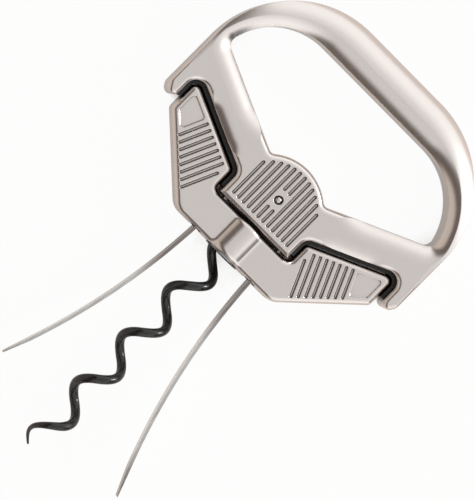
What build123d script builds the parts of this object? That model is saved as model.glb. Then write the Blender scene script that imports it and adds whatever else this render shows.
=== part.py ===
"""Two-part cork puller: a loop handle with two spring blades, and a winged bar with a worm.

The tool lies on its back. +Z comes out of its front face, +Y runs along the worm towards the top of the
loop, and +X is to the right. The origin is on the rest face, behind the cross pin.
"""

import os
from math import acos, asin, atan2, ceil, cos, degrees, pi, radians, sin, sqrt, tan

from build123d import *

os.makedirs("parts", exist_ok=True)

# Driving dimensions, in millimetres and degrees

# Loop of the handle
handle_width = 84.8  # across both legs
handle_top = 48.6  # cross pin to the top of the loop
handle_depth = 14.0  # front to back
top_flat = 26.2  # straight stretch of the top bar
bar_height = 11.4  # top bar, seen from the front
loop_radius = 19.7  # inner corners of the finger loop
finger_round = 1.9  # edges that the fingers meet, from the boss round to the top bar
leg_width = 4.0  # legs and hooks, seen from the front
leg_round = 0.9  # outer edges of the legs
hook_drop = 0.2  # reach of the hooks below the cross pin
hook_round = 1.8  # plan radius of the hooks' inner corners
hook_slant = 60.0  # slant of the hooks' ends

# Wide round that the fingers lie on, along the V bars, the legs and the top bar
roll_reach = 5.0  # seen from the front
roll_start = 4.0  # slope where it leaves the front face
roll_end = 50.0  # slope just past the finger side
roll_spare = 0.4  # how far past the finger side it is drawn
roll_fade = 16.0  # plan radius with which it runs out towards the boss
roll_stop = 1.0  # runs out this far from the corner at the boss

# Wide round along the pocket side of the V bars
brow_reach = 3.3  # seen from the front
brow_end = 38.0  # slope just past the pocket's edge
brow_fade = 8.0  # plan radius with which both of its ends run out

# Rounded flank outside the crest of the loop
crest_drop = 7.0  # crest to the outer edge, on the top bar
crest_leg = 1.3  # crest to the outer edge, on the legs
flank_start = 8.0  # slope at the crest
flank_end = 66.0  # slope at the outer edge of the top bar
flank_fade = 30.0  # plan radius with which the flank runs out on the legs
flank_fade_turn = 25.0

# V bars between the legs and the boss
vee_angle = 24.1  # rise of each V bar
vee_valley = 2.9  # height at which the upper edges would meet
vee_width = 9.6
leg_corner = 2.6  # plan radius between the V bars and the legs
edge_round = 1.5  # edges of the hooks and the pocket, and underside of the boss
pocket_corner = 3.1  # plan radius of the pocket's inner corners

# Boss in the middle of the handle
boss_width = 25.0
boss_drop = 9.06  # reach below the cross pin
bump_radius = 14.4  # arc over the boss
bump_top = 11.2  # height of that arc
bump_blend = 1.8  # plan radius between the arc and the V bars
pad_groove_count = 12
pad_groove_pitch = 1.8
pad_groove_width = 1.0
pad_margin = 1.7  # grooves to the lower edge of the boss
pad_crown = 1.7  # grooves to the arc over the boss
pad_break = 5.2  # break of the middle grooves around the pin
groove_depth = 0.5
groove_draft = 30.0  # lean of the grooves' walls

# Pins
cross_pin_radius = 1.05
cross_pin_gap = 0.25  # around the pin's head
cross_pin_sink = 0.7  # depth of that gap
cross_pin_dome = 0.85  # edge radius of the head
cross_pin_back = 0.7  # wall of the boss behind the pin
blade_pin_radius = 0.75

# Spring blades
blade_spacing = 20.0  # between the two blades at the slots
blade_thickness = 0.8
blade_width = 7.5  # front to back, at the root
blade_tip_width = 5.0
blade_tip_round = 2.2
blade_bow = 187.0  # radius of each blade's outward bow
short_reach = 58.6  # below the winged bar
long_reach = 64.6
blade_point = 8.0  # length over which a blade thins to its edge
blade_edge = 0.2  # thickness of that edge
blade_pivot_drop = 6.0  # blade pins below the cross pin
bar_travel = 58.0  # the bar slides this far along the blades

# Block that carries the blades
block_cheek = 1.2  # wall beside each blade
block_head = 2.6  # reach above the cross pin
block_lift = 0.2  # lower face above that of the boss

# Winged bar
nest_gap = 1.3  # between the pocket and the wings
boss_gap = 0.45  # between the boss and the bar
wing_depth = 10.0
wing_side_drop = 2.4  # lower end of the outer side below the cross pin
wing_bottom_drop = 20.35
wing_bottom_half = 17.7  # half of the flat underside, before its corners are rounded
wing_edge_round = 1.7
wing_side_corner = 1.8
wing_bottom_corner = 5.0
wing_root_corner = 1.3
grip_groove_count = 8
grip_groove_pitch = 1.85
grip_groove_width = 0.95
grip_first = 11.7  # first groove from the outer corner of the wing, along the upper edge
grip_top_inset = 1.5
grip_bottom_inset = 1.25
grip_wall_inset = 2.0  # from the inner wall of the wing
panel_inset = 1.9
panel_gap = 0.85  # between the panel and the first groove
panel_corner = 0.9
panel_depth = 0.4

# Worm and what holds it
worm_wire = 2.5  # diameter
worm_radius = 3.47  # axis to the middle of the wire
worm_pitch = 17.2
worm_tip_drop = 91.6  # tip below the cross pin
worm_mouth_angle = 208.3  # where the wire leaves the bar, from +X towards +Z
worm_lead = 1.5  # the full radius is reached this far above the mouth of the bore
worm_taper_turn = 0.6  # turns over which the tip is drawn out
worm_tip_radius = 0.28
hub_wall = 1.15  # around the bore
hub_cap = 1.0  # closed end of the bore
hub_crease = 2.4
plug_length = 3.0
ring_wall = 0.5
ring_length = 2.0
ring_lip = 0.3

# Liner of the pocket
liner_thickness = 0.95
liner_depth = 8.6
liner_stop = 1.5  # ends short of the hook and of the boss

# Clearances
seat = 0.05  # pieces that are fixed together
running = 0.05  # radial, between a pin and what turns on it
free = 0.3  # between pieces that move past each other

# Places that follow from the sizes above
mid = handle_depth / 2
vee = radians(vee_angle)
slope = tan(vee)
half_width = handle_width / 2
hook_side = half_width - leg_width
boss_half = boss_width / 2
boss_bottom = -boss_drop
blade_half = blade_spacing / 2
corner_radius = (handle_width - top_flat) / 2
corner_height = handle_top - corner_radius
loop_top = handle_top - bar_height
vee_drop = vee_width / cos(vee)
bar_top = boss_bottom - boss_gap
bar_bottom = -wing_bottom_drop
bar_middle = (bar_top + bar_bottom) / 2
worm_outside = worm_radius + worm_wire / 2
bore_radius = worm_outside + free + ring_wall
hub_radius = bore_radius + hub_wall


def upright_plane(x, y, across, normal):
    """Plane through (x, y) at mid depth, square to the front face."""
    return Plane(origin=(x, y, mid), x_dir=(*across, 0), z_dir=(*normal, 0))


def meet(start, direction, other, other_direction):
    """Point where two lines in the XY plane cross."""
    cross = direction[0] * other_direction[1] - direction[1] * other_direction[0]
    gap = (other[0] - start[0], other[1] - start[1])
    reach = (gap[0] * other_direction[1] - gap[1] * other_direction[0]) / cross
    return (start[0] + reach * direction[0], start[1] + reach * direction[1])


# Pocket between each hook and the boss

def pocket_height(x, inset):
    """Height of the pocket's slanted edge at x, moved into the pocket by inset."""
    return vee_valley - vee_drop + slope * x - inset / cos(vee)


def pocket_corners(inset):
    """Hook corner and boss corner of the right pocket, moved into the pocket by inset."""
    outer = hook_side - inset
    inner = boss_half + inset
    return (outer, pocket_height(outer, inset)), (inner, pocket_height(inner, inset))


def pocket_tangents(inset):
    """Ends of the two corner arcs of the right pocket, in order from the hook to the boss."""
    hook, boss_corner = pocket_corners(inset)
    radius = pocket_corner - inset
    hook_length = radius / tan((pi / 2 - vee) / 2)
    boss_length = radius / tan((pi / 2 + vee) / 2)
    return (
        (hook[0], hook[1] - hook_length),
        (hook[0] - hook_length * cos(vee), hook[1] - hook_length * sin(vee)),
        (boss_corner[0] + boss_length * cos(vee), boss_corner[1] + boss_length * sin(vee)),
        (boss_corner[0], boss_corner[1] - boss_length),
    )


def pocket_line(inset):
    """Draws the right pocket's edge from the hook to the boss in the current line builder."""
    hook_end, hook_start, boss_start, boss_end = pocket_tangents(inset)
    hook_arc = TangentArc(hook_end, hook_start, tangent=(0, 1))
    slant = Line(hook_arc @ 1, boss_start)
    TangentArc(slant @ 1, boss_end, tangent=(-cos(vee), -sin(vee)))
    return hook_end, boss_end


# Handle frame: the right half in plan, with its edges rounded, and then the left half

loop_drop = corner_height - loop_top + loop_radius
loop_center = (hook_side - sqrt(loop_radius**2 - loop_drop**2), loop_top - loop_radius)
bump_center = (0, bump_top - bump_radius)


def vee_arc(point, distance, radius):
    """Centre of an arc that rests on the right V bar, at a distance from a point."""
    rise = vee_valley + slope * point[0] + radius / cos(vee) - point[1]
    reach = sqrt(distance**2 - (rise * cos(vee)) ** 2) - rise * sin(vee)
    return (point[0] + reach * cos(vee), point[1] + rise + reach * sin(vee))


def vee_foot(center, radius):
    """Point where such an arc touches the V bar."""
    return (center[0] + radius * sin(vee), center[1] - radius * cos(vee))


def towards(start, end, distance):
    """Point at a distance from start, in the direction of end."""
    share = distance / sqrt((end[0] - start[0]) ** 2 + (end[1] - start[1]) ** 2)
    return (start[0] + share * (end[0] - start[0]), start[1] + share * (end[1] - start[1]))


slant = radians(hook_slant)
hook_turn = (
    hook_side + hook_round + hook_round * sin(slant),
    hook_round - hook_drop - hook_round * cos(slant),
)
hook_foot = hook_turn[1] + (half_width - hook_turn[0]) * tan(slant)
leg_arc = vee_arc(loop_center, loop_radius - leg_corner, leg_corner)
bump_arc = vee_arc(bump_center, bump_radius + bump_blend, bump_blend)

with BuildSketch(Plane.XY.offset(mid)) as half_plan:
    with BuildLine():
        pocket_start, pocket_end = pocket_line(0)
        hook_wall = Line(pocket_start, (hook_side, hook_round - hook_drop))
        hook_edge = TangentArc(hook_wall @ 1, hook_turn, tangent=(0, -1))
        leg_side = Polyline(hook_edge @ 1, (half_width, hook_foot), (half_width, corner_height))
        loop_side = TangentArc(leg_side @ 1, (top_flat / 2, handle_top), tangent=(0, 1))
        Polyline(loop_side @ 1, (0, handle_top), (0, loop_top))
        bar_edge = Line((0, loop_top), (loop_center[0], loop_top))
        loop_end = towards(loop_center, leg_arc, loop_radius)
        loop_edge = TangentArc(bar_edge @ 1, loop_end, tangent=(1, 0))
        leg_edge = TangentArc(loop_edge @ 1, vee_foot(leg_arc, leg_corner), tangent=loop_edge % 1)
        vee_edge = Line(leg_edge @ 1, vee_foot(bump_arc, bump_blend))
        bump_end = towards(bump_center, bump_arc, bump_radius)
        valley_edge = TangentArc(vee_edge @ 1, bump_end, tangent=vee_edge % 1)
        bump_edge = TangentArc(valley_edge @ 1, (0, bump_top), tangent=valley_edge % 1)
        Polyline(bump_edge @ 1, (0, boss_bottom), (boss_half, boss_bottom), pocket_end)
    make_face()

finger_middles = [edge @ 0.5 for edge in (bar_edge, loop_edge, leg_edge, vee_edge, valley_edge, bump_edge)]


def is_finger_side(edge):
    """Whether an edge of the front or back lies on the outline of the finger loop."""
    point = edge @ 0.5
    return any(abs(point.X - middle.X) + abs(point.Y - middle.Y) < seat for middle in finger_middles)


def is_outside(edge):
    """Whether an edge of the front or back lies on the outline of the loop or of the leg."""
    point = edge @ 0.5
    if point.Y < corner_height:
        return point.X > half_width - seat
    if point.X < top_flat / 2:
        return point.Y > handle_top - seat
    return (point.X - top_flat / 2) ** 2 + (point.Y - corner_height) ** 2 > (corner_radius - seat) ** 2


def is_under(edge):
    """Whether an edge of the front or back lies on the outline of the hook, the pocket or the boss."""
    return abs((edge @ 0.5).X) > seat and not is_outside(edge) and not is_finger_side(edge)


with BuildPart() as half:
    add(half_plan.sketch)
    extrude(amount=handle_depth / 2, both=True)
    fillet(half.faces().filter_by(Axis.Z).edges().filter_by(is_under), edge_round)
    fillet(half.faces().filter_by(Axis.Z).edges().filter_by(is_outside), leg_round)
    fillet(half.faces().filter_by(Axis.Z).edges().filter_by(is_finger_side), finger_round)

crest_top = handle_top - crest_drop
crest_radius = corner_radius - crest_leg
crest_width = crest_drop + leg_round


def cutting_line(reach, start_degrees, end_degrees, side):
    """Draws the outline above an arc that steepens between two slopes, in the current line builder."""
    start_slope = radians(start_degrees)
    end_slope = radians(end_degrees)
    fall = reach * (cos(start_slope) - cos(end_slope)) / (sin(end_slope) - sin(start_slope))
    foot = (side * reach, -fall)
    TangentArc((0, 0), foot, tangent=(side * cos(start_slope), -sin(start_slope)))
    Polyline(foot, (side * reach, leg_round), (0, leg_round), (0, 0))


# What the flanks take off the half, front and back
with BuildPart() as flank:
    with BuildLine(Plane.XY.offset(handle_depth)):
        Line((0, crest_top), (top_flat / 2, crest_top))
        CenterArc((top_flat / 2, crest_top - crest_radius), crest_radius, 90, -90)
        fade_center = (top_flat / 2 + crest_radius + flank_fade, crest_top - crest_radius)
        CenterArc(fade_center, flank_fade, 180, flank_fade_turn)
    with BuildSketch(Plane(origin=(0, crest_top, handle_depth), x_dir=(0, 1, 0), z_dir=(1, 0, 0))):
        with BuildLine():
            cutting_line(crest_width, flank_start, flank_end, 1)
        make_face()
    sweep()
    mirror(about=Plane.XY.offset(mid))

# What the wide round takes off
roll_top = loop_top + roll_reach
roll_foot = vee_foot(leg_arc, leg_corner + roll_reach)
roll_turn = acos(1 - roll_reach / roll_fade)
roll_run_out = roll_stop + roll_fade * sin(roll_turn)
vee_end = vee_foot(bump_arc, bump_blend + roll_reach)
roll_last = (vee_end[0] + roll_run_out * cos(vee), vee_end[1] + roll_run_out * sin(vee))
roll_center = (roll_last[0] - roll_fade * sin(vee), roll_last[1] + roll_fade * cos(vee))
vee_bearing = vee_angle - 90
leg_bearing = degrees(atan2(leg_arc[1] - loop_center[1], leg_arc[0] - loop_center[0]))

with BuildPart() as roll:
    with BuildLine(Plane.XY.offset(handle_depth)):
        Line((0, roll_top), (loop_center[0], roll_top))
        CenterArc(loop_center, loop_radius + roll_reach, 90, leg_bearing - 90)
        CenterArc(leg_arc, leg_corner + roll_reach, leg_bearing, vee_bearing - leg_bearing)
        Line(roll_foot, roll_last)
        CenterArc(roll_center, roll_fade, vee_bearing, -degrees(roll_turn))
    with BuildSketch(Plane(origin=(0, roll_top, handle_depth), x_dir=(0, 1, 0), z_dir=(1, 0, 0))):
        with BuildLine():
            cutting_line(roll_reach + roll_spare, roll_start, roll_end, -1)
        make_face()
    sweep()
    mirror(about=Plane.XY.offset(mid))

# What the round along the pocket takes off, from the boss to the hook
brow_turn = degrees(acos(1 - brow_reach / brow_fade))
brow_run_out = brow_fade * sin(radians(brow_turn))
brow_bearing = vee_angle + 90
edge_end, edge_start = pocket_tangents(0)[1:3]
brow_inset = brow_fade - brow_reach


def brow_center(corner, distance):
    """Centre of the run-out at a distance from a corner of the pocket, along the V bar."""
    return (
        corner[0] + distance * cos(vee) + brow_inset * sin(vee),
        corner[1] + distance * sin(vee) - brow_inset * cos(vee),
    )


def around(center, radius, bearing):
    """Point at a bearing from a centre."""
    return (center[0] + radius * cos(radians(bearing)), center[1] + radius * sin(radians(bearing)))


boss_center = brow_center(edge_start, brow_run_out)
hook_center = brow_center(edge_end, -brow_run_out)
brow_first = around(boss_center, brow_fade, brow_bearing + brow_turn)
brow_side = around((0, 0), 1, brow_bearing + brow_turn)

with BuildPart() as brow:
    with BuildLine(Plane.XY.offset(handle_depth)):
        CenterArc(boss_center, brow_fade, brow_bearing + brow_turn, -brow_turn)
        Line(around(boss_center, brow_fade, brow_bearing), around(hook_center, brow_fade, brow_bearing))
        CenterArc(hook_center, brow_fade, brow_bearing, -brow_turn)
    with BuildSketch(
        Plane(
            origin=(*brow_first, handle_depth),
            x_dir=(*brow_side, 0),
            z_dir=(brow_side[1], -brow_side[0], 0),
        )
    ):
        with BuildLine():
            cutting_line(brow_reach + roll_spare, roll_start, brow_end, -1)
        make_face()
    sweep()
    mirror(about=Plane.XY.offset(mid))

block_half = blade_half + blade_thickness / 2 + free
block_depth = blade_width + 2 * free + 2 * block_cheek
pad_bottom = boss_bottom + pad_margin

with BuildPart() as handle_frame:
    add(half.part)
    add(flank.part, mode=Mode.SUBTRACT)
    add(roll.part, mode=Mode.SUBTRACT)
    add(brow.part, mode=Mode.SUBTRACT)
    mirror(about=Plane.YZ)

    # Grooves of the pad, the middle ones broken around the pin
    with BuildSketch(Plane.XY.offset(handle_depth)):
        for groove in range(pad_groove_count):
            x = (groove - (pad_groove_count - 1) / 2) * pad_groove_pitch
            pad_top = bump_center[1] + sqrt((bump_radius - pad_crown) ** 2 - x**2)
            stretches = [(pad_bottom, pad_top)]
            if abs(x) < pad_groove_pitch:
                stretches = [(pad_bottom, -pad_break / 2), (pad_break / 2, pad_top)]
            for low, high in stretches:
                with Locations((x, (low + high) / 2)):
                    SlotOverall(high - low, pad_groove_width, rotation=90)
    extrude(amount=-groove_depth, taper=groove_draft, mode=Mode.SUBTRACT)

    # Cavity for the block, and the hole of the cross pin
    with BuildSketch(Plane.XY.offset(mid)):
        with Locations((0, boss_bottom)):
            Rectangle(
                2 * (block_half + seat),
                block_head + seat - boss_bottom,
                align=(Align.CENTER, Align.MIN),
            )
    extrude(amount=block_depth / 2 + seat, both=True, mode=Mode.SUBTRACT)
    with BuildSketch(Plane.XY.offset(handle_depth)):
        Circle(cross_pin_radius)
    extrude(amount=cross_pin_back - handle_depth, mode=Mode.SUBTRACT)
    with BuildSketch(Plane.XY.offset(handle_depth)):
        Circle(cross_pin_radius + cross_pin_gap)
    extrude(amount=-cross_pin_sink, mode=Mode.SUBTRACT)

handle_frame.part.label = "handle_frame"
export_step(handle_frame.part, "parts/handle_frame.step")


# Cross pin, with a domed head

with BuildPart() as cross_pin:
    with BuildSketch(Plane.XY.offset(cross_pin_back)):
        Circle(cross_pin_radius)
    extrude(amount=handle_depth - seat - cross_pin_back)
    fillet(cross_pin.edges().filter_by(GeomType.CIRCLE).sort_by(Axis.Z)[-1], cross_pin_dome)

cross_pin.part.label = "cross_pin"
export_step(cross_pin.part, "parts/cross_pin.step")


# Block in the boss, with a pocket for each blade's eye

pivot_y = -blade_pivot_drop
eye_bore = blade_pin_radius + running
eye_radius = eye_bore + blade_thickness
pivot_x = blade_half - eye_bore - blade_thickness / 2
block_bottom = boss_bottom + block_lift

with BuildPart() as blade_block:
    with BuildSketch(Plane.XY.offset(mid)):
        with Locations((0, block_bottom)):
            Rectangle(2 * block_half, block_head - block_bottom, align=(Align.CENTER, Align.MIN))
    extrude(amount=block_depth / 2, both=True)
    with BuildSketch(Plane.XY.offset(mid)):
        with Locations((pivot_x - eye_radius - free, block_bottom)):
            Rectangle(
                block_half - pivot_x + eye_radius + free,
                pivot_y + eye_radius + free - block_bottom,
                align=(Align.MIN, Align.MIN),
            )
        mirror(about=Plane.YZ)
    extrude(amount=blade_width / 2 + free, both=True, mode=Mode.SUBTRACT)
    with BuildSketch(Plane.XY.offset(mid)):
        Circle(cross_pin_radius)
        with Locations((pivot_x, pivot_y), (-pivot_x, pivot_y)):
            Circle(blade_pin_radius)
    extrude(amount=block_depth / 2, both=True, mode=Mode.SUBTRACT)

blade_block.part.label = "blade_block"
export_step(blade_block.part, "parts/blade_block.step")


# Blades, bowed outward on one radius from the pin to the point, and their pins

bow_start = asin((pivot_y - bar_middle) / (2 * blade_bow))
bow_center = (blade_half + blade_bow * cos(bow_start), pivot_y - blade_bow * sin(bow_start))


def bow_point(length, offset):
    """Point at a length along the right blade, offset towards the worm."""
    turn = bow_start - length / blade_bow
    radius = blade_bow + offset
    return (bow_center[0] - radius * cos(turn), bow_center[1] + radius * sin(turn))


def spring_blade(reach):
    """Right-hand blade that reaches this far below the winged bar."""
    tip_y = bar_bottom - reach
    length = blade_bow * (bow_start + asin((bow_center[1] - tip_y) / blade_bow))
    arc_degrees = degrees((length - blade_point) / blade_bow)
    with BuildPart() as blade:
        with BuildSketch(Plane.XY.offset(mid)):
            with BuildLine():
                start_degrees = 180 - degrees(bow_start)
                inside = CenterArc(bow_center, blade_bow + blade_thickness / 2, start_degrees, arc_degrees)
                outside = CenterArc(bow_center, blade_bow - blade_thickness / 2, start_degrees, arc_degrees)
                Line(inside @ 0, outside @ 0)
                Polyline(
                    inside @ 1,
                    bow_point(length, blade_edge / 2),
                    bow_point(length, -blade_edge / 2),
                    outside @ 1,
                )
            make_face()
            with Locations((pivot_x, pivot_y)):
                Circle(eye_radius)
                Circle(eye_bore, mode=Mode.SUBTRACT)
        extrude(amount=blade_width / 2, both=True)
        with BuildSketch(Plane.YZ) as side_view:
            with Locations((0, mid)):
                Polygon(
                    (pivot_y + eye_radius, -blade_width / 2),
                    (pivot_y + eye_radius, blade_width / 2),
                    (bar_bottom, blade_width / 2),
                    (tip_y, blade_tip_width / 2),
                    (tip_y, -blade_tip_width / 2),
                    (bar_bottom, -blade_width / 2),
                    align=None,
                )
            fillet(side_view.vertices().group_by(Axis.Y)[0], blade_tip_round)
        extrude(amount=half_width, mode=Mode.INTERSECT)
    return blade.part


def blade_pin(x):
    """Pin of a blade, between the cheeks of the block."""
    with BuildPart() as pin:
        with BuildSketch(Plane.XY.offset(mid)):
            with Locations((x, pivot_y)):
                Circle(blade_pin_radius)
        extrude(amount=block_depth / 2, both=True)
    return pin.part


for name, side, reach in (("short_blade", -1, short_reach), ("long_blade", 1, long_reach)):
    blade = spring_blade(reach)
    if side < 0:
        blade = blade.mirror(Plane.YZ)
    blade.label = name
    export_step(blade, f"parts/{name}.step")
    pin = blade_pin(side * pivot_x)
    pin.label = f"{name}_pin"
    export_step(pin, f"parts/{name}_pin.step")


# Winged bar

wing_hook, wing_boss = pocket_corners(nest_gap)
wing_side_foot = (wing_hook[0], -wing_side_drop)
wing_foot = (wing_bottom_half, bar_bottom)
wing_corners = (
    ((wing_boss[0], bar_top), wing_root_corner),
    (wing_boss, pocket_corner - nest_gap),
    (wing_hook, pocket_corner - nest_gap),
    (wing_side_foot, wing_side_corner),
    (wing_foot, wing_bottom_corner),
)
edge_along = (cos(vee), sin(vee))
edge_down = (sin(vee), -cos(vee))
foot_run = sqrt((wing_foot[0] - wing_side_foot[0]) ** 2 + (wing_foot[1] - wing_side_foot[1]) ** 2)
foot_along = ((wing_foot[0] - wing_side_foot[0]) / foot_run, (wing_foot[1] - wing_side_foot[1]) / foot_run)
foot_inward = (foot_along[1], -foot_along[0])


def foot_line(inset):
    """Point on the wing's lower slanted edge, moved into the wing by inset."""
    return (wing_foot[0] + inset * foot_inward[0], wing_foot[1] + inset * foot_inward[1])


def upper_line(distance, inset):
    """Point at a distance from the wing's outer corner along its upper edge, moved into the wing by inset."""
    return (
        wing_hook[0] - distance * edge_along[0] + inset * edge_down[0],
        wing_hook[1] - distance * edge_along[1] + inset * edge_down[1],
    )


flex = bar_travel / (2 * blade_bow)
slot_half = blade_thickness / 2 + free + (bar_middle - bar_bottom) * tan(bow_start + flex)
bar_front = mid + wing_depth / 2

hub_plane = upright_plane(0, bar_top, (1, 0), (0, -1))

with BuildPart() as wing_bar:
    with BuildSketch(Plane.XY.offset(mid)) as bar_plan:
        with BuildLine():
            Polyline((0, bar_top), *[corner for corner, radius in wing_corners], (0, bar_bottom))
            mirror(about=Plane.YZ)
        make_face()
        for corner, radius in wing_corners:
            fillet(
                bar_plan.vertices().filter_by(
                    lambda v: abs(abs(v.X) - corner[0]) < seat and abs(v.Y - corner[1]) < seat
                ),
                radius,
            )
    extrude(amount=wing_depth / 2, both=True)

    # Half-round hub, front and back, blended into the flat faces
    with BuildSketch(hub_plane):
        Circle(hub_radius)
    extrude(amount=bar_top - bar_bottom)
    creases = wing_bar.edges().filter_by(Axis.Y).filter_by(
        lambda e: abs(abs((e @ 0.5).Z - mid) - wing_depth / 2) < seat and abs((e @ 0.5).X) < hub_radius
    )
    fillet(creases, hub_crease)
    side_edges = wing_bar.faces().filter_by(lambda f: abs(f.normal_at().Z) < seat).edges()
    fillet(side_edges.filter_by(Axis.Z, reverse=True), wing_edge_round)

    # Bore for the worm, closed at the top
    with BuildSketch(upright_plane(0, bar_bottom, (1, 0), (0, 1))):
        Circle(bore_radius)
    extrude(amount=bar_top - hub_cap - bar_bottom, mode=Mode.SUBTRACT)

    # Slots that the blades pass through
    with BuildSketch(hub_plane):
        with Locations((blade_half, 0), (-blade_half, 0)):
            Rectangle(2 * slot_half, blade_width + 2 * free)
    extrude(amount=bar_top - bar_bottom, mode=Mode.SUBTRACT)

    # Finger grooves
    with BuildSketch(Plane.XY.offset(bar_front)):
        for groove in range(grip_groove_count):
            distance = grip_first + groove * grip_groove_pitch
            high = upper_line(distance, grip_top_inset + grip_groove_width / 2)
            wall_limit = wing_boss[0] + grip_wall_inset + grip_groove_width / 2
            if high[0] < wall_limit:
                high = meet(high, edge_down, (wall_limit, 0), (0, 1))
            low = meet(high, edge_down, foot_line(grip_bottom_inset + grip_groove_width / 2), foot_along)
            length = sqrt((high[0] - low[0]) ** 2 + (high[1] - low[1]) ** 2)
            with Locations(((high[0] + low[0]) / 2, (high[1] + low[1]) / 2)):
                SlotCenterToCenter(length, grip_groove_width, rotation=vee_angle - 90)
        mirror(about=Plane.YZ)
    extrude(amount=-groove_depth, taper=groove_draft, mode=Mode.SUBTRACT)

    # Sunk panel near each outer corner
    panel_edge = grip_first - grip_groove_width / 2 - panel_gap
    panel_side = wing_hook[0] - panel_inset
    panel_points = (
        meet(upper_line(0, panel_inset), edge_along, (panel_side, 0), (0, 1)),
        meet(upper_line(0, panel_inset), edge_along, upper_line(panel_edge, 0), edge_down),
        meet(foot_line(panel_inset), foot_along, upper_line(panel_edge, 0), edge_down),
        meet(foot_line(panel_inset), foot_along, (panel_side, 0), (0, 1)),
    )
    with BuildSketch(Plane.XY.offset(bar_front)) as panel_plan:
        Polygon(*panel_points, align=None)
        fillet(panel_plan.vertices(), panel_corner)
        mirror(about=Plane.YZ)
    extrude(amount=-panel_depth, taper=groove_draft, mode=Mode.SUBTRACT)

wing_bar.part.label = "wing_bar"
export_step(wing_bar.part, "parts/wing_bar.step")


# Plug that holds the shank of the worm, and the ring at the mouth of the bore

plug_top = bar_top - hub_cap
plug_bottom = plug_top - plug_length

with BuildPart() as worm_hub:
    with BuildSketch(upright_plane(0, plug_bottom, (1, 0), (0, 1))):
        Circle(bore_radius - seat)
        Circle(worm_wire / 2, mode=Mode.SUBTRACT)
    extrude(amount=plug_length - seat)

worm_hub.part.label = "worm_hub"
export_step(worm_hub.part, "parts/worm_hub.step")

with BuildPart() as mouth_ring:
    with BuildSketch(upright_plane(0, bar_bottom - ring_lip, (1, 0), (0, 1))):
        Circle(bore_radius - seat)
        Circle(bore_radius - ring_wall, mode=Mode.SUBTRACT)
    extrude(amount=ring_length)

mouth_ring.part.label = "mouth_ring"
export_step(mouth_ring.part, "parts/mouth_ring.step")


# Worm: a straight shank, a lead-in to the helix, full turns and a drawn-out tip

turn_rise = worm_pitch / (2 * pi)
tip_angle = radians(worm_mouth_angle) + (bar_bottom + worm_tip_drop) / turn_rise
taper_angle = tip_angle - 2 * pi * worm_taper_turn
lead_angle = radians(worm_mouth_angle) - worm_lead / turn_rise


def helix_point(angle):
    """Middle of the wire at an angle of the helix."""
    height = bar_bottom - turn_rise * (angle - radians(worm_mouth_angle))
    return Vector(worm_radius * cos(angle), height, mid + worm_radius * sin(angle))


def helix_tangent(angle):
    """Direction of the wire, towards the tip."""
    return Vector(-worm_radius * sin(angle), -turn_rise, worm_radius * cos(angle)).normalized()


def biarc(start, start_tangent, end, end_tangent):
    """Two tangent arcs from start to end, drawn in the current line builder."""
    chord = end - start
    tangent_sum = start_tangent + end_tangent
    curl = 2 * (1 - start_tangent.dot(end_tangent))
    along = chord.dot(tangent_sum)
    reach = (sqrt(along**2 + curl * chord.dot(chord)) - along) / curl
    middle = (start + end + (start_tangent - end_tangent) * reach) * 0.5
    first = TangentArc(start, middle, tangent=start_tangent)
    TangentArc(first @ 1, end, tangent=first % 1)


def helix_run(start_angle, end_angle):
    """The helix between two angles as biarcs of at most a quarter turn each."""
    quarters = ceil((end_angle - start_angle) / (pi / 2))
    step = (end_angle - start_angle) / quarters
    for quarter in range(quarters):
        near = start_angle + quarter * step
        far = near + step
        biarc(helix_point(near), helix_tangent(near), helix_point(far), helix_tangent(far))


with BuildPart() as worm:
    with BuildLine():
        shank = Line((0, plug_top - seat, mid), (0, plug_bottom, mid))
        biarc(shank @ 1, Vector(0, -1, 0), helix_point(lead_angle), helix_tangent(lead_angle))
        helix_run(lead_angle, taper_angle)
    with BuildSketch(Plane(origin=(0, plug_top - seat, mid), z_dir=(0, -1, 0))):
        Circle(worm_wire / 2)
    sweep()
    with BuildLine():
        helix_run(taper_angle, tip_angle)
    for angle, radius in ((taper_angle, worm_wire / 2), (tip_angle, worm_tip_radius)):
        radial = (cos(angle), 0, sin(angle))
        with BuildSketch(Plane(origin=helix_point(angle), x_dir=radial, z_dir=helix_tangent(angle))):
            Circle(radius)
    sweep(multisection=True)

worm.part.label = "worm"
export_step(worm.part, "parts/worm.step")


# Liners of the two halves of the pocket

with BuildPart() as liner:
    with BuildSketch(Plane.XY.offset(mid)):
        with BuildLine():
            outer_hook, outer_boss = pocket_line(seat)
            inner_hook, inner_boss = pocket_line(seat + liner_thickness)
            hook_stop = -hook_drop + liner_stop
            boss_stop = boss_bottom + liner_stop
            Polyline(outer_hook, (outer_hook[0], hook_stop), (inner_hook[0], hook_stop), inner_hook)
            Polyline(outer_boss, (outer_boss[0], boss_stop), (inner_boss[0], boss_stop), inner_boss)
        make_face()
    extrude(amount=liner_depth / 2, both=True)

right_liner = liner.part
left_liner = right_liner.mirror(Plane.YZ)
for name, strip in (("right_liner", right_liner), ("left_liner", left_liner)):
    strip.label = name
    export_step(strip, f"parts/{name}.step")
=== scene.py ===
"""Finishes, studio and camera for a two-blade cork puller, laid out as a Blender add-on.

Sizes are in metres. The tool lies on its back: +Z comes out of its front face and +Y runs along the worm
towards the top of the loop.
"""

from math import cos, pi, radians, sin

import bpy
from bpy.props import FloatProperty, FloatVectorProperty, PointerProperty
from bpy.types import Operator, Panel, PropertyGroup
from mathutils import Matrix, Vector


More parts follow.
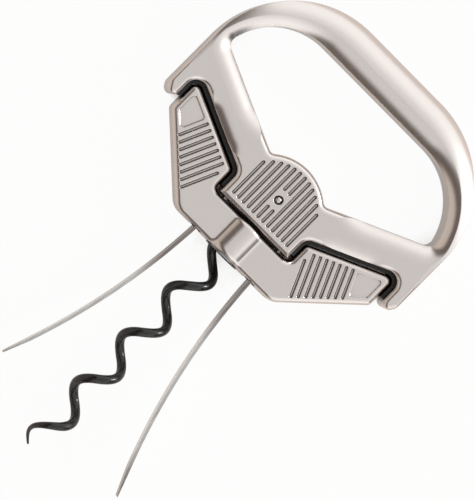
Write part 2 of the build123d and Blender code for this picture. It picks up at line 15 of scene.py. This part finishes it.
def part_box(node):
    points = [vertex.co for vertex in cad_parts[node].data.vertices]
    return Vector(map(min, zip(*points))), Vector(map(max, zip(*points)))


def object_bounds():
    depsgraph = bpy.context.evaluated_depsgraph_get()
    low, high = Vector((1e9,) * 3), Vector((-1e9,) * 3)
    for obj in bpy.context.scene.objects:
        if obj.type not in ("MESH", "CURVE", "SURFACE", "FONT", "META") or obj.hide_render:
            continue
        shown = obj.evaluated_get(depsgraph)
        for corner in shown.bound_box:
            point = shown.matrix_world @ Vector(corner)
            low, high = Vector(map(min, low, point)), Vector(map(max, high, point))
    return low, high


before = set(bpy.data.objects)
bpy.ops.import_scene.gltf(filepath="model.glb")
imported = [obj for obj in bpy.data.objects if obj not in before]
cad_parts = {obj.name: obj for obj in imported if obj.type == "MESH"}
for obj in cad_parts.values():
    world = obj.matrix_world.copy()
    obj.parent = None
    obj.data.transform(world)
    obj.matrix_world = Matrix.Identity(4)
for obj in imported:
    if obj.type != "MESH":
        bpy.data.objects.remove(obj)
cad_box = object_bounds()

bl_info = {
    "name": "Two-blade cork puller",
    "version": (1, 0, 0),
    "blender": (4, 5, 0),
    "location": "View3D > Sidebar > Cork puller",
    "description": "Finishes the pieces of a two-blade cork puller and sets up its studio",
    "category": "Object",
}

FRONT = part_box("handle_frame")[1].z
UP = Vector((0.0, 0.0, 1.0))
QUARTER_TURN = pi / 2
MM_PER_METRE = 1000.0

# A noise keeps mostly between these values
NOISE_LOW = 0.25
NOISE_HIGH = 0.75

# Detail of plain and of fine noises
PLAIN_DETAIL = 2.0
FINE_DETAIL = 3.0

# Samples of the nodes that look around a place
LOOK_SAMPLES = 8

# Likeness of the rounded to the true normal where the painted highlight of a rubbed edge starts, and where
# it is full
EDGE_START = 0.995
EDGE_FULL = 0.92

# Upward part of the normal up to which a face of a blade is a flat, and from which it is an edge
FLAT_RISE = 0.3
EDGE_RISE = 0.7

# Level part of a direction at which the ceiling of the tent ends, at its slope and where its glow starts
CEILING_END = 0.2
SLOPE_LEAN = 0.6
GLOW_START = 0.9

# Heights over the plane of the dark stripe, as parts of a direction: the wall and the stripe lie between
# the first two, and the dark side gives way to the bright side between the last two
WALL_FOOT = -0.7
STRIPE_TOP = 0.1
COVER_FULL = 0.05
COVER_END = 0.25

# Shares of the smoothed way from the wall's foot to the stripe's top at which one fades into the other
WALL_END = 0.30
STRIPE_START = 0.55

# Part of a direction towards the left of the picture at which the dark side starts, and where it is full
LEFT_START = -0.1
LEFT_FULL = 0.15


# Settings

def colour(name, description, default):
    """Linear colour that a user may change."""
    return FloatVectorProperty(
        name=name, description=description, default=default, subtype="COLOR", min=0.0, max=1.0
    )


def length(name, description, default):
    """Length in metres that a user may change."""
    return FloatProperty(
        name=name, description=description, default=default, min=0.0, unit="LENGTH", precision=6
    )


def share(name, description, default):
    """Value from 0 to 1 that a user may change."""
    return FloatProperty(
        name=name, description=description, default=default, min=0.0, max=1.0, subtype="FACTOR"
    )


def angle(name, description, default):
    """Angle that a user may change, given in degrees."""
    return FloatProperty(name=name, description=description, default=radians(default), unit="ROTATION")


class CastingSettings(PropertyGroup):
    """Satin nickel over the two castings."""

    dull: colour("Dull nickel", "Nickel in the low spots of the satin grain", (0.702, 0.657, 0.634))
    bright: colour("Bright nickel", "Nickel on the high spots of the satin grain", (0.742, 0.695, 0.671))
    # Painted highlight on sharp edges, as of rubbed nickel, lighter than the nickel itself
    wear_and_sheen: colour("Worn edges", "Nickel where edges are rubbed bright", (0.960, 0.935, 0.915))
    # The next five settings paint shade: grooves and gaps darken towards black where shade falls
    recess_shade: colour("Soil", "Tarnish in grooves and gaps", (0.060, 0.047, 0.040))
    light_recess_shade: colour("Light soil", "Thin tarnish in grooves and gaps", (0.120, 0.100, 0.088))
    recess_shade_reach: length("Soil reach", "Width of the grooves and gaps that hold tarnish", 0.0020)
    full_recess_shade: share("Full soil", "Openness up to which a place is fully tarnished", 0.36)
    no_recess_shade: share("No soil", "Openness from which a place is clean", 0.92)
    rough_low: share("Lowest roughness", "Roughness on the high spots of the grain", 0.20)
    rough_high: share("Highest roughness", "Roughness in the low spots of the grain", 0.27)
    grain: length("Grain", "Width of one speck of the satin grain", 0.00032)
    grain_depth: length("Grain depth", "Height of the satin grain", 0.0000002)
    edge: length("Edge break", "Radius to which sharp edges are broken", 0.00024)


class BladeSettings(PropertyGroup):
    """Ground and polished spring steel of the two blades."""

    dark: colour("Dark steel", "Edges between the grinding marks", (0.42, 0.41, 0.40))
    light: colour("Light steel", "Edges on the grinding marks", (0.68, 0.67, 0.66))
    flat: colour("Flats", "Polished flats", (0.87, 0.91, 0.94))
    flat_dull: colour("Dull flats", "Polished flats in the grinding marks", (0.78, 0.82, 0.85))
    # The next five settings paint shade that darkens the root and the tip of each blade
    painted_shade: colour("Tarnish", "Darkest steel at the root and the tip", (0.17, 0.15, 0.14))
    light_painted_shade: colour("Light tarnish", "Lighter steel at the root and the tip", (0.34, 0.31, 0.29))
    root_end: length("End of the root", "Tarnish at the root ends this far below the cross pin", 0.042)
    tip_start: length("Start of the tip", "Tarnish at the tip starts this far below the cross pin", 0.070)
    painted_shade_fade: length("Fade", "Length over which the tarnish fades", 0.012)
    rough_low: share("Lowest roughness", "Roughness on the polished marks", 0.16)
    rough_high: share("Highest roughness", "Roughness between the marks", 0.30)
    mark_width: length("Mark width", "Width of one grinding mark", 0.0004)
    mark_length: length("Mark length", "Length of one grinding mark", 0.018)
    mark_depth: length("Mark depth", "Depth of the grinding marks", 0.0000015)


class WormSettings(PropertyGroup):
    """Black non-stick coating of the worm."""

    black: colour("Coating", "Colour of the coating", (0.010, 0.010, 0.011))
    wear_and_sheen: colour("Thin coating", "Colour where the coating is thin", (0.021, 0.020, 0.020))
    rough_low: share("Lowest roughness", "Roughness of the smoothest coating", 0.12)
    rough_high: share("Highest roughness", "Roughness of the dullest coating", 0.25)
    gloss: share("Gloss", "Strength of the coating's shine", 0.5)
    ripple: length("Ripple", "Width of one ripple of the sprayed coating", 0.0011)
    ripple_depth: length("Ripple depth", "Depth of the ripples", 0.000020)


class PinSettings(PropertyGroup):
    """Polished steel of the pins."""

    dark: colour("Dark steel", "Steel in the fine scratches", (0.56, 0.56, 0.56))
    light: colour("Light steel", "Polished steel", (0.74, 0.74, 0.73))
    rough_low: share("Lowest roughness", "Roughness of the polish", 0.07)
    rough_high: share("Highest roughness", "Roughness in the scratches", 0.16)
    scratch: length("Scratch", "Width of one polishing scratch", 0.00012)
    scratch_length: length("Scratch length", "Length of one polishing scratch", 0.0012)
    scratch_depth: length("Scratch depth", "Depth of the scratches", 0.0000008)


class InsertSettings(PropertyGroup):
    """Plain turned steel of the block, the plug and the ring."""

    dark: colour("Dark steel", "Steel in the tool marks", (0.30, 0.30, 0.31))
    light: colour("Light steel", "Steel between the tool marks", (0.46, 0.46, 0.46))
    rough_low: share("Lowest roughness", "Roughness between the tool marks", 0.28)
    rough_high: share("Highest roughness", "Roughness in the tool marks", 0.42)
    mark: length("Tool mark", "Distance between tool marks", 0.0003)
    mark_length: length("Tool mark length", "Length of one tool mark", 1 / 60)
    mark_depth: length("Tool mark depth", "Depth of the tool marks", 0.000003)


class LinerSettings(PropertyGroup):
    """Black strips in the pocket of the handle: a guessed moulded liner whose black paints the shade of
    the gap there.
    """

    # The black of the strips stands in for the shade of the gap between the handle and the winged bar
    black: colour("Liner", "Colour of the strips", (0.008, 0.0075, 0.007))
    grey: colour("Rubbed liner", "Colour where the strips are rubbed", (0.016, 0.015, 0.014))
    rough_low: share("Lowest roughness", "Roughness where the strips are rubbed", 0.50)
    rough_high: share("Highest roughness", "Roughness of the moulded texture", 0.68)
    texture: length("Texture", "Width of one speck of the moulded texture", 0.0004)
    texture_depth: length("Texture depth", "Depth of the moulded texture", 0.00001)


class StudioSettings(PropertyGroup):
    """Floor, surrounding light, soft box and camera."""

    floor: colour("Floor", "Colour of the pale floor", (0.82, 0.71, 0.63))
    floor_size: length("Floor size", "Side of the square floor", 4.0)
    floor_drop: length("Floor drop", "Gap between the tool and the floor", 0.0001)
    floor_white: share("Floor white", "How far the floor fades to white where it is seen", 0.96)
    mirror_white: share("Mirrored white", "How far the floor fades to white in reflections", 0.30)
    floor_reach: length("Gap reach", "Width of the gaps under which the floor stays dark", 0.015)
    gap_dark: share("Dark gap", "Openness up to which the floor stays dark", 0.05)
    gap_white: share("White gap", "Openness from which the floor fades to white in full", 0.30)
    brightness: FloatProperty(
        name="Brightness", description="Light of the brightest part of the tent", default=1.28, min=0.0
    )
    ceiling: colour("Ceiling", "Share of that light from overhead", (0.615, 0.610, 0.603))
    slope: colour("Slope", "Share of that light from halfway up the bright side", (0.700, 0.694, 0.686))
    glow: colour("Glow", "Share of that light from low on the bright side", (1.0, 0.995, 0.985))
    shade: colour("Shade", "Share of that light from the dark stripe", (0.105, 0.084, 0.072))
    wall: colour("Wall", "Share of that light from the wall under the dark stripe", (0.560, 0.500, 0.445))
    stripe_bearing: angle("Stripe bearing", "Bearing at which the dark stripe is highest", 201.0)
    stripe_height: angle("Stripe height", "Height of the dark stripe there", 62.7)
    card: colour("Card", "Share of that light from the dark card", (0.090, 0.086, 0.082))
    card_bearing: angle("Card bearing", "Bearing of the card, from the tool's right towards its loop", 0.0)
    card_height: angle("Card height", "Height of the card above the floor", 9.0)
    card_spread: angle("Card spread", "Half the angle that the card takes up", 24.0)
    card_core: angle("Card core", "Half the angle over which the card is darkest", 12.0)
    lamp_power: FloatProperty(
        name="Soft box", description="Power of the soft box", default=4.6, min=0.0, unit="POWER"
    )
    lamp_size: length("Soft box size", "Side of the soft box", 0.26)
    lamp_distance: length("Soft box distance", "From the middle of the tool to the soft box", 1.1)
    lamp_height: angle("Soft box height", "Height of the soft box above the floor", 22.0)
    view_right: length("View right", "Middle of the picture, to the right of the cross pin", 0.00143)
    view_drop: length("View drop", "Middle of the picture, below the cross pin", 0.01694)
    view_height: length("View height", "Height of the front plane that the picture takes in", 0.13077)
    view_distance: length("View distance", "Camera to the front plane", 1.0)
    view_yaw: angle("View yaw", "How far the camera stands to the left of the tool", 6.30)
    view_pitch: angle("View pitch", "How far the camera stands towards the worm", 2.28)
    view_roll: angle("View roll", "Turn of the tool in the picture", 44.72)
    sensor: length("Sensor", "Long side of the camera's sensor", 0.036)


class CorkPullerSettings(PropertyGroup):
    """All settings of the cork puller."""

    casting: PointerProperty(type=CastingSettings)
    blade: PointerProperty(type=BladeSettings)
    worm: PointerProperty(type=WormSettings)
    pin: PointerProperty(type=PinSettings)
    insert: PointerProperty(type=InsertSettings)
    liner: PointerProperty(type=LinerSettings)
    studio: PointerProperty(type=StudioSettings)


# Helpers for materials

def new_material(name):
    """Material with its node tree and its main shader."""
    material = bpy.data.materials.new(name)
    material.use_nodes = True
    return material, material.node_tree, material.node_tree.nodes["Principled BSDF"]


def add_node(tree, kind, **inputs):
    """Node with some of its input sockets set."""
    node = tree.nodes.new(kind)
    for socket, value in inputs.items():
        node.inputs[socket].default_value = value
    return node


def feed(tree, node, values):
    """Gives a node's first inputs their values, each a number, a vector or another node's socket."""
    for socket, value in zip(node.inputs, values):
        if isinstance(value, bpy.types.NodeSocket):
            tree.links.new(value, socket)
        else:
            socket.default_value = value


def math_value(tree, operation, *values):
    """Socket with a number worked out from numbers and sockets."""
    node = add_node(tree, "ShaderNodeMath")
    node.operation = operation
    feed(tree, node, values)
    return node.outputs["Value"]


def vector_math(tree, operation, *values):
    """Node that works on vectors and sockets."""
    node = add_node(tree, "ShaderNodeVectorMath")
    node.operation = operation
    feed(tree, node, values)
    return node


def dot_product(tree, first, second):
    """Socket with the dot product of two directions."""
    return vector_math(tree, "DOT_PRODUCT", first, second).outputs["Value"]


def map_range(tree, value, start, end, low, high, kind="LINEAR"):
    """Socket that goes from low to high while a value goes from start to end."""
    node = add_node(tree, "ShaderNodeMapRange")
    node.interpolation_type = kind
    node.inputs["From Min"].default_value = start
    node.inputs["From Max"].default_value = end
    node.inputs["To Min"].default_value = low
    node.inputs["To Max"].default_value = high
    tree.links.new(value, node.inputs["Value"])
    return node.outputs["Result"]


def smooth_step(tree, value, start, end):
    """Socket that rises smoothly from 0 at start to 1 at end."""
    return map_range(tree, value, start, end, 0.0, 1.0, "SMOOTHSTEP")


def value_between(tree, factor, low, high):
    """Socket with a value that goes from low to high over the middle of a noise."""
    return map_range(tree, factor, NOISE_LOW, NOISE_HIGH, low, high)


def colour_steps(tree, factor, stops):
    """Socket with a colour that goes through stops, each a position and a colour."""
    ramp = add_node(tree, "ShaderNodeValToRGB")
    while len(ramp.color_ramp.elements) < len(stops):
        ramp.color_ramp.elements.new(1.0)
    for element, (position, shade) in zip(ramp.color_ramp.elements, stops):
        element.position = position
        element.color = (*shade, 1.0)
    tree.links.new(factor, ramp.inputs["Fac"])
    return ramp.outputs["Color"]


def colour_between(tree, factor, low, high):
    """Socket with a colour that goes from low to high over the middle of a noise."""
    return colour_steps(tree, factor, ((NOISE_LOW, low), (NOISE_HIGH, high)))


def mixed_colour(tree, factor, first, second):
    """Socket with a colour that goes from the first to the second."""
    mix = add_node(tree, "ShaderNodeMix")
    mix.data_type = "RGBA"
    tree.links.new(factor, mix.inputs["Factor"])
    tree.links.new(first, mix.inputs["A"])
    tree.links.new(second, mix.inputs["B"])
    return mix.outputs["Result"]


def mixed_shader(tree, factor, first, second):
    """Socket with a shader that goes from the first to the second."""
    mix = add_node(tree, "ShaderNodeMixShader")
    feed(tree, mix, (factor, first, second))
    return mix.outputs["Shader"]


def object_point(tree, stretch=(1.0, 1.0, 1.0)):
    """Socket with the point on the object in metres, stretched along each axis."""
    place = add_node(tree, "ShaderNodeTexCoord")
    mapping = add_node(tree, "ShaderNodeMapping", Scale=stretch)
    tree.links.new(place.outputs["Object"], mapping.inputs["Vector"])
    return mapping.outputs["Vector"]


def noise(tree, sizes, detail):
    """Socket with a noise from 0 to 1, whose specks have the given sizes along the three axes."""
    made = add_node(tree, "ShaderNodeTexNoise", Scale=1.0, Detail=detail)
    point = object_point(tree, [1 / size for size in sizes])
    tree.links.new(point, made.inputs["Vector"])
    return made.outputs["Fac"]


def relief(tree, height, depth, under=None):
    """Socket with a normal for a height from 0 to 1, on top of another normal where there is one."""
    bump = add_node(tree, "ShaderNodeBump", Strength=1.0, Distance=depth)
    tree.links.new(height, bump.inputs["Height"])
    if under:
        tree.links.new(under, bump.inputs["Normal"])
    return bump.outputs["Normal"]


def broken_edges(tree, radius):
    """Sockets with a normal that rounds sharp edges, and with how much of an edge a place is."""
    bevel = add_node(tree, "ShaderNodeBevel", Radius=radius)
    bevel.samples = LOOK_SAMPLES
    rounded = bevel.outputs["Normal"]
    surface = add_node(tree, "ShaderNodeNewGeometry")
    likeness = dot_product(tree, rounded, surface.outputs["Normal"])
    return rounded, smooth_step(tree, likeness, EDGE_START, EDGE_FULL)


def openness(tree, reach):
    """Socket with how open a place is, from 0 in a narrow gap to 1 on an open face."""
    around = add_node(tree, "ShaderNodeAmbientOcclusion", Distance=reach)
    around.samples = LOOK_SAMPLES
    return around.outputs["AO"]


def link_finish(tree, shader, base, roughness, normal):
    """Links a colour, a roughness and a normal to a main shader."""
    tree.links.new(base, shader.inputs["Base Color"])
    tree.links.new(roughness, shader.inputs["Roughness"])
    tree.links.new(normal, shader.inputs["Normal"])


def dress(names, material):
    """Gives CAD nodes a material."""
    for name in names:
        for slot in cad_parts[name].material_slots:
            slot.material = material


# Finishes

def satin_nickel(settings):
    """Satin nickel with a fine speckled grain, painted shade in its recesses, and softly broken edges with
    a painted highlight as of rubbing.
    """
    material, tree, shader = new_material("satin_nickel")
    shader.inputs["Metallic"].default_value = 1.0
    grain = noise(tree, (settings.grain, settings.grain, settings.grain), FINE_DETAIL)
    rounded, edge_share = broken_edges(tree, settings.edge)
    plain = colour_between(tree, grain, settings.dull, settings.bright)
    # Sharp edges get a painted highlight, as of rubbed nickel
    rubbed = colour_between(tree, grain, settings.bright, settings.wear_and_sheen)
    unshaded = mixed_colour(tree, edge_share, plain, rubbed)
    # Painted shade: grooves, gaps and tight corners darken as they close in
    recess_shaded = colour_between(tree, grain, settings.recess_shade, settings.light_recess_shade)
    room = openness(tree, settings.recess_shade_reach)
    unshaded_share = smooth_step(tree, room, settings.full_recess_shade, settings.no_recess_shade)
    base = mixed_colour(tree, unshaded_share, recess_shaded, unshaded)
    roughness = value_between(tree, grain, settings.rough_high, settings.rough_low)
    normal = relief(tree, grain, settings.grain_depth, rounded)
    link_finish(tree, shader, base, roughness, normal)
    return material


def shaded_blade_ends(tree, settings):
    """Socket that is 1 at the root and the tip of a blade, where shade is painted, and 0 between them."""
    parts = add_node(tree, "ShaderNodeSeparateXYZ")
    tree.links.new(object_point(tree), parts.inputs["Vector"])
    along = parts.outputs["Y"]
    at_root = smooth_step(tree, along, -settings.root_end, settings.painted_shade_fade - settings.root_end)
    at_tip = smooth_step(tree, along, -settings.tip_start, -settings.tip_start - settings.painted_shade_fade)
    return math_value(tree, "MAXIMUM", at_root, at_tip)


def spring_steel(settings):
    """Spring steel with grinding marks along the blade, and painted shade that darkens the root and the
    tip.
    """
    material, tree, shader = new_material("spring_steel")
    shader.inputs["Metallic"].default_value = 1.0
    marks = noise(tree, (settings.mark_width, settings.mark_length, settings.mark_width), FINE_DETAIL)
    flats = colour_between(tree, marks, settings.flat_dull, settings.flat)
    edges = colour_between(tree, marks, settings.dark, settings.light)
    end_shaded = colour_between(tree, marks, settings.painted_shade, settings.light_painted_shade)
    surface = add_node(tree, "ShaderNodeNewGeometry")
    facing = vector_math(tree, "ABSOLUTE", surface.outputs["Normal"]).outputs["Vector"]
    edge_share = smooth_step(tree, dot_product(tree, facing, UP), FLAT_RISE, EDGE_RISE)
    ground = mixed_colour(tree, edge_share, flats, edges)
    # Painted shade darkens the root and the tip
    base = mixed_colour(tree, shaded_blade_ends(tree, settings), ground, end_shaded)
    roughness = value_between(tree, marks, settings.rough_high, settings.rough_low)
    link_finish(tree, shader, base, roughness, relief(tree, marks, settings.mark_depth))
    return material


def black_coating(settings):
    """Sprayed black coating with a slight ripple."""
    material, tree, shader = new_material("black_coating")
    shader.inputs["Specular IOR Level"].default_value = settings.gloss
    ripple = noise(tree, (settings.ripple, settings.ripple, settings.ripple), PLAIN_DETAIL)
    base = colour_between(tree, ripple, settings.black, settings.wear_and_sheen)
    roughness = value_between(tree, ripple, settings.rough_low, settings.rough_high)
    link_finish(tree, shader, base, roughness, relief(tree, ripple, settings.ripple_depth))
    return material


def polished_steel(settings):
    """Polished steel with fine scratches."""
    material, tree, shader = new_material("polished_steel")
    shader.inputs["Metallic"].default_value = 1.0
    scratches = noise(tree, (settings.scratch, settings.scratch_length, settings.scratch), PLAIN_DETAIL)
    base = colour_between(tree, scratches, settings.dark, settings.light)
    roughness = value_between(tree, scratches, settings.rough_high, settings.rough_low)
    link_finish(tree, shader, base, roughness, relief(tree, scratches, settings.scratch_depth))
    return material


def turned_steel(settings):
    """Plain steel with tool marks square to the worm."""
    material, tree, shader = new_material("turned_steel")
    shader.inputs["Metallic"].default_value = 1.0
    marks = noise(tree, (settings.mark_length, settings.mark, settings.mark_length), PLAIN_DETAIL)
    base = colour_between(tree, marks, settings.dark, settings.light)
    roughness = value_between(tree, marks, settings.rough_high, settings.rough_low)
    link_finish(tree, shader, base, roughness, relief(tree, marks, settings.mark_depth))
    return material


def gap_shade_black(settings):
    """Matte black with a fine texture, painted shade for the gap that the strips fill."""
    material, tree, shader = new_material("gap_shade_black")
    texture = noise(tree, (settings.texture, settings.texture, settings.texture), FINE_DETAIL)
    base = colour_between(tree, texture, settings.black, settings.grey)
    roughness = value_between(tree, texture, settings.rough_high, settings.rough_low)
    link_finish(tree, shader, base, roughness, relief(tree, texture, settings.texture_depth))
    return material


# Studio

def direction_at(bearing, height=0.0):
    """Direction at a bearing, from the tool's right towards its loop, and at a height above the floor."""
    return Vector((cos(bearing) * cos(height), sin(bearing) * cos(height), sin(height)))


def pale_floor(settings):
    """Pale floor that fades to white for the camera, partly in reflections, and stays dark under gaps."""
    material, tree, shader = new_material("pale_floor")
    tree.nodes.remove(shader)
    path = add_node(tree, "ShaderNodeLightPath").outputs
    seen = math_value(tree, "MAXIMUM", path["Is Camera Ray"], path["Is Transmission Ray"])
    seen_fade = math_value(tree, "MULTIPLY", seen, settings.floor_white)
    fade = math_value(tree, "MULTIPLY_ADD", path["Is Glossy Ray"], settings.mirror_white, seen_fade)
    room = openness(tree, settings.floor_reach)
    clear_share = smooth_step(tree, room, settings.gap_dark, settings.gap_white)
    white_share = math_value(tree, "MULTIPLY", fade, clear_share)
    matte = add_node(tree, "ShaderNodeBsdfDiffuse", Color=(*settings.floor, 1.0))
    white = add_node(tree, "ShaderNodeEmission", Color=(1.0, 1.0, 1.0, 1.0), Strength=1.0)
    surface = mixed_shader(tree, white_share, matte.outputs["BSDF"], white.outputs["Emission"])
    tree.links.new(surface, tree.nodes["Material Output"].inputs["Surface"])
    return material


def bright_side(tree, direction, settings):
    """Socket with the light of the bright side, from the ceiling over the slope to the glow."""
    level = vector_math(tree, "MULTIPLY", direction, (1.0, 1.0, 0.0)).outputs["Vector"]
    lean = vector_math(tree, "LENGTH", level).outputs["Value"]
    stops = ((CEILING_END, settings.ceiling), (SLOPE_LEAN, settings.slope), (GLOW_START, settings.glow))
    return colour_steps(tree, lean, stops)


def dark_side(tree, direction, settings):
    """Sockets with the light of the dark stripe and the wall under it, and with how far they cover."""
    above = direction_at(settings.stripe_bearing, settings.stripe_height + QUARTER_TURN)
    over = dot_product(tree, direction, above)
    rise = smooth_step(tree, over, WALL_FOOT, STRIPE_TOP)
    light = colour_steps(tree, rise, ((WALL_END, settings.wall), (STRIPE_START, settings.shade)))
    leftward = dot_product(tree, direction, -direction_at(settings.view_roll))
    under = smooth_step(tree, over, COVER_END, COVER_FULL)
    beside = smooth_step(tree, leftward, LEFT_START, LEFT_FULL)
    return light, math_value(tree, "MULTIPLY", under, beside)


def dark_card(tree, direction, settings):
    """Socket that is 1 on the dark card and 0 around it."""
    nearness = dot_product(tree, direction, direction_at(settings.card_bearing, settings.card_height))
    return smooth_step(tree, nearness, cos(settings.card_spread), cos(settings.card_core))


def light_tent(settings):
    """World with a bright side, a dark stripe over a wall, and a dark card low on the bright side."""
    world = bpy.data.worlds.new("light_tent")
    world.use_nodes = True
    tree = world.node_tree
    tree.nodes.clear()
    direction = add_node(tree, "ShaderNodeTexCoord").outputs["Generated"]
    bright = bright_side(tree, direction, settings)
    dark, dark_share = dark_side(tree, direction, settings)
    tent = add_node(tree, "ShaderNodeBackground", Strength=settings.brightness)
    tree.links.new(mixed_colour(tree, dark_share, bright, dark), tent.inputs["Color"])
    card_colour = (*settings.card, 1.0)
    card = add_node(tree, "ShaderNodeBackground", Color=card_colour, Strength=settings.brightness)
    card_share = dark_card(tree, direction, settings)
    surface = mixed_shader(tree, card_share, tent.outputs["Background"], card.outputs["Background"])
    output = add_node(tree, "ShaderNodeOutputWorld")
    tree.links.new(surface, output.inputs["Surface"])
    return world


def add_floor(settings):
    """Square floor under the tool."""
    half = settings.floor_size / 2
    drop = cad_box[0].z - settings.floor_drop
    mesh = bpy.data.meshes.new("floor")
    corners = [(-half, -half, drop), (half, -half, drop), (half, half, drop), (-half, half, drop)]
    mesh.from_pydata(corners, [], [(0, 1, 2, 3)])
    mesh.materials.append(pale_floor(settings))
    floor = bpy.data.objects.new("floor", mesh)
    bpy.context.scene.collection.objects.link(floor)


def add_soft_box(settings):
    """Square lamp on the bright side of the tent."""
    data = bpy.data.lights.new("soft_box", "AREA")
    data.shape = "SQUARE"
    data.size = settings.lamp_size
    data.energy = settings.lamp_power
    lamp = bpy.data.objects.new("soft_box", data)
    towards = direction_at(settings.view_roll, settings.lamp_height)
    lamp.location = towards * settings.lamp_distance
    lamp.rotation_euler = towards.to_track_quat("Z", "Y").to_euler()
    lamp.visible_camera = False
    bpy.context.scene.collection.objects.link(lamp)


def add_camera(settings):
    """Camera nearly above the tool, turned so that the tool lies slantwise in the picture."""
    data = bpy.data.cameras.new("camera")
    data.sensor_width = settings.sensor * MM_PER_METRE
    data.lens = data.sensor_width * settings.view_distance / settings.view_height
    camera = bpy.data.objects.new("camera", data)
    bpy.context.scene.collection.objects.link(camera)
    back = Vector((-sin(settings.view_yaw), -sin(settings.view_pitch), 1.0)).normalized()
    right = direction_at(settings.view_roll)
    right = (right - back * right.dot(back)).normalized()
    up = back.cross(right)
    centre = Vector((settings.view_right, -settings.view_drop, FRONT)) + back * settings.view_distance
    turn = Matrix((right, up, back)).transposed().to_4x4()
    camera.matrix_world = Matrix.Translation(centre) @ turn
    bpy.context.scene.camera = camera


# Operators

class CORKPULLER_OT_castings(Operator):
    """Give the handle frame and the winged bar their satin nickel"""

    bl_idname = "corkpuller.castings"
    bl_label = "Finish the castings"

    def execute(self, context):
        dress(("handle_frame", "wing_bar"), satin_nickel(context.scene.cork_puller.casting))
        return {"FINISHED"}


class CORKPULLER_OT_blades(Operator):
    """Give the two spring blades their ground steel"""

    bl_idname = "corkpuller.blades"
    bl_label = "Finish the blades"

    def execute(self, context):
        dress(("short_blade", "long_blade"), spring_steel(context.scene.cork_puller.blade))
        return {"FINISHED"}


class CORKPULLER_OT_worm(Operator):
    """Give the worm its black coating"""

    bl_idname = "corkpuller.worm"
    bl_label = "Finish the worm"

    def execute(self, context):
        dress(("worm",), black_coating(context.scene.cork_puller.worm))
        return {"FINISHED"}


class CORKPULLER_OT_pins(Operator):
    """Give the cross pin and the blade pins their polish"""

    bl_idname = "corkpuller.pins"
    bl_label = "Finish the pins"

    def execute(self, context):
        names = ("cross_pin", "short_blade_pin", "long_blade_pin")
        dress(names, polished_steel(context.scene.cork_puller.pin))
        return {"FINISHED"}


class CORKPULLER_OT_inserts(Operator):
    """Give the block, the plug and the ring their plain steel"""

    bl_idname = "corkpuller.inserts"
    bl_label = "Finish the inserts"

    def execute(self, context):
        dress(("blade_block", "worm_hub", "mouth_ring"), turned_steel(context.scene.cork_puller.insert))
        return {"FINISHED"}


class CORKPULLER_OT_liners(Operator):
    """Give the strips in the pocket their matte black, the painted shade of the gap"""

    bl_idname = "corkpuller.liners"
    bl_label = "Finish the liners"

    def execute(self, context):
        dress(("left_liner", "right_liner"), gap_shade_black(context.scene.cork_puller.liner))
        return {"FINISHED"}


class CORKPULLER_OT_studio(Operator):
    """Set up the floor, the light and the camera"""

    bl_idname = "corkpuller.studio"
    bl_label = "Set up the studio"

    def execute(self, context):
        settings = context.scene.cork_puller.studio
        context.scene.view_settings.view_transform = "Standard"
        context.scene.world = light_tent(settings)
        add_floor(settings)
        add_soft_box(settings)
        add_camera(settings)
        return {"FINISHED"}


class CORKPULLER_PT_panel(Panel):
    """Lists the steps that finish the cork puller"""

    bl_idname = "CORKPULLER_PT_panel"
    bl_label = "Cork puller"
    bl_space_type = "VIEW_3D"
    bl_region_type = "UI"
    bl_category = "Cork puller"

    def draw(self, context):
        for step in STEPS:
            self.layout.operator(step.bl_idname)


STEPS = (
    CORKPULLER_OT_castings,
    CORKPULLER_OT_blades,
    CORKPULLER_OT_worm,
    CORKPULLER_OT_pins,
    CORKPULLER_OT_inserts,
    CORKPULLER_OT_liners,
    CORKPULLER_OT_studio,
)
CLASSES = (
    CastingSettings,
    BladeSettings,
    WormSettings,
    PinSettings,
    InsertSettings,
    LinerSettings,
    StudioSettings,
    CorkPullerSettings,
    *STEPS,
    CORKPULLER_PT_panel,
)


def register():
    """Registers the classes and the scene's settings."""
    for made in CLASSES:
        bpy.utils.register_class(made)
    bpy.types.Scene.cork_puller = PointerProperty(type=CorkPullerSettings)


def unregister():
    """Removes the scene's settings and the classes."""
    del bpy.types.Scene.cork_puller
    for made in reversed(CLASSES):
        bpy.utils.unregister_class(made)


def main():
    """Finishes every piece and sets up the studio."""
    register()
    bpy.ops.corkpuller.castings()
    bpy.ops.corkpuller.blades()
    bpy.ops.corkpuller.worm()
    bpy.ops.corkpuller.pins()
    bpy.ops.corkpuller.inserts()
    bpy.ops.corkpuller.liners()
    bpy.ops.corkpuller.studio()


if __name__ == "__main__":
    main()
